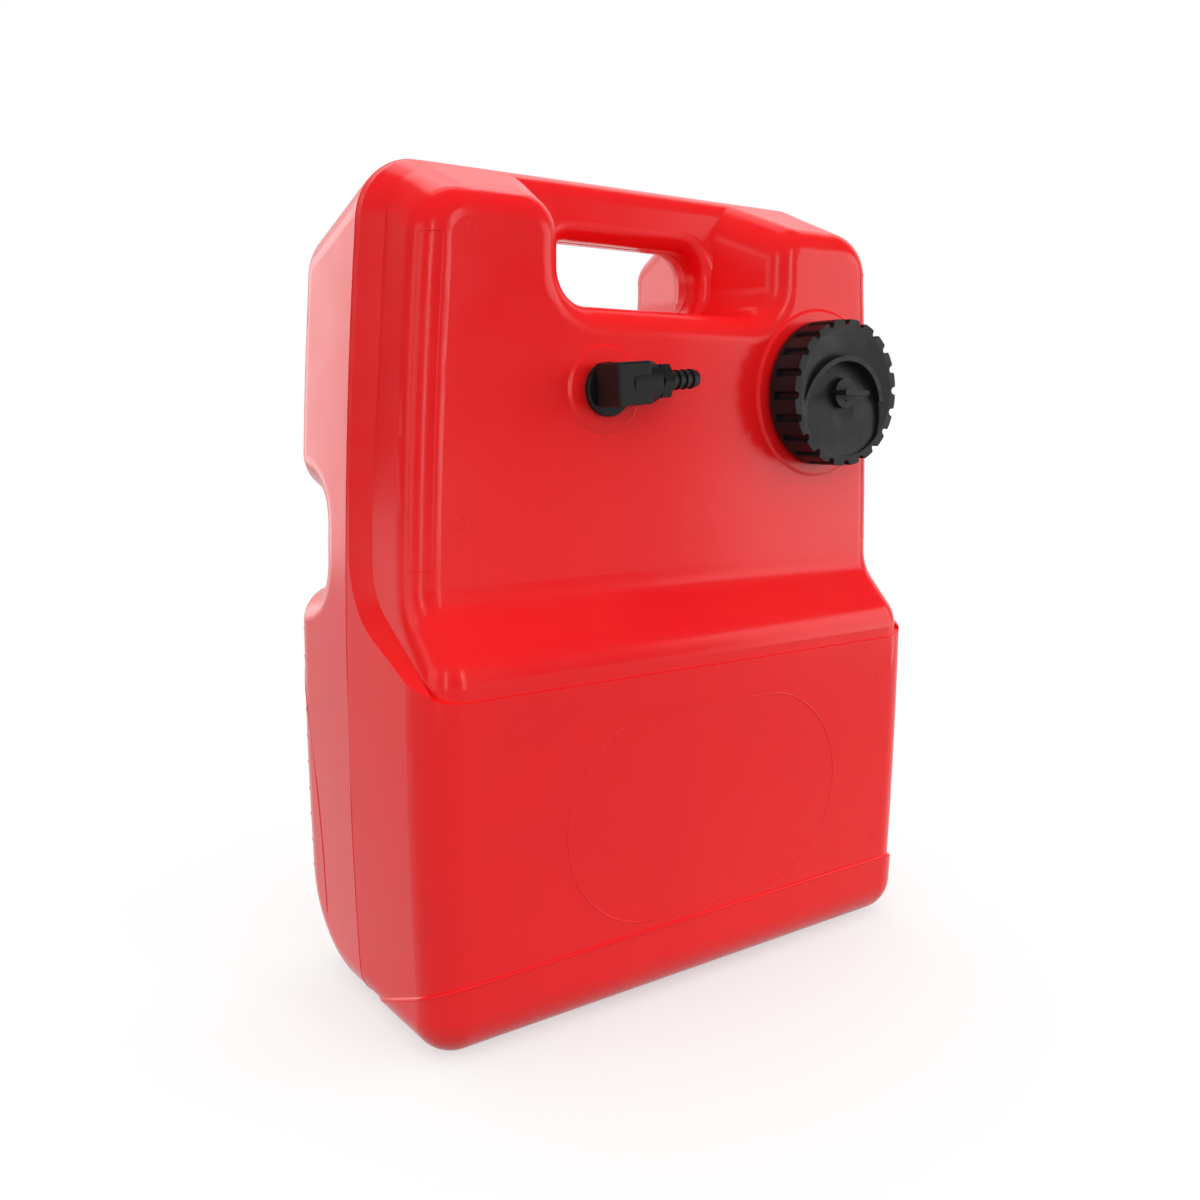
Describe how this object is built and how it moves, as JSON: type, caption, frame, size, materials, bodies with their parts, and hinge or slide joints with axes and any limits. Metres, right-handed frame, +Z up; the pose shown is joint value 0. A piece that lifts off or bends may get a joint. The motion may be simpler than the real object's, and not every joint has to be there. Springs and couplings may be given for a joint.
{
  "type": "outboard fuel tank",
  "caption": "Portable blow-moulded fuel tank with an integral carrying handle, vented screw cap, swivelling hose outlet and an inner suction hose with strainer.",
  "frame": {"origin": "on the ground under the middle of the tank's base, in the parting plane of the mould", "axes": "+X to the right along the front face, -Y out of the front face that carries the cap and the outlet, +Z up"},
  "size_m": [0.2986, 0.1467, 0.39],
  "materials": {
    "tank": "satin, slightly translucent",
    "cap": "satin",
    "fitting": "satin",
    "seal": "matt",
    "hose": "matt",
    "clip": "plain",
    "strainer": "satin",
    "screen": "fine mesh"
  },
  "bodies": {
    "tank": {"tank_body": "tank", "bush_gasket": "seal", "outlet_bush": "fitting", "bush_locknut": "fitting", "swivel_ring": "clip", "suction_hose": "hose", "strainer_body": "strainer", "strainer_screen": "screen"},
    "gasket": {"cap_gasket": "seal"},
    "baffle": {"splash_baffle": "fitting"},
    "cap": {"filler_cap": "cap"},
    "vent_seal": {"vent_oring": "seal"},
    "vent": {"vent_screw": "fitting", "vent_clip": "clip"},
    "elbow": {"outlet_elbow": "fitting", "elbow_oring": "seal", "hose_tail": "fitting", "hose_tail_oring": "seal"}
  },
  "joints": [
    {"name": "cap_lift_off", "type": "slide", "parent": "tank", "child": "gasket", "axis": [0, -1, 0], "range_m": [0, 0.12]},
    {"name": "cap_rise", "type": "slide", "parent": "gasket", "child": "baffle", "axis": [0, -1, 0], "range_m": [0, 0.007]},
    {"name": "cap_turn", "type": "hinge", "parent": "baffle", "child": "cap", "pos_m": [0.0935, -0.063, 0.2895], "axis": [0, -1, 0], "range_deg": [0, 540]},
    {"name": "vent_rise", "type": "slide", "parent": "cap", "child": "vent_seal", "axis": [0, -1, 0], "range_m": [0, 0.0026]},
    {"name": "vent_turn", "type": "hinge", "parent": "vent_seal", "child": "vent", "pos_m": [0.0935, -0.068, 0.2895], "axis": [0, -1, 0], "range_deg": [0, 720]},
    {"name": "elbow_swivel", "type": "hinge", "parent": "tank", "child": "elbow", "pos_m": [-0.043, -0.058, 0.2895], "axis": [0, -1, 0], "continuous": true}
  ],
  "couplings": [
    {"joint": "cap_rise", "follows": "cap_turn", "m_per_rad": 0.0007162},
    {"joint": "vent_rise", "follows": "vent_turn", "m_per_rad": 0.00019894}
  ]
}
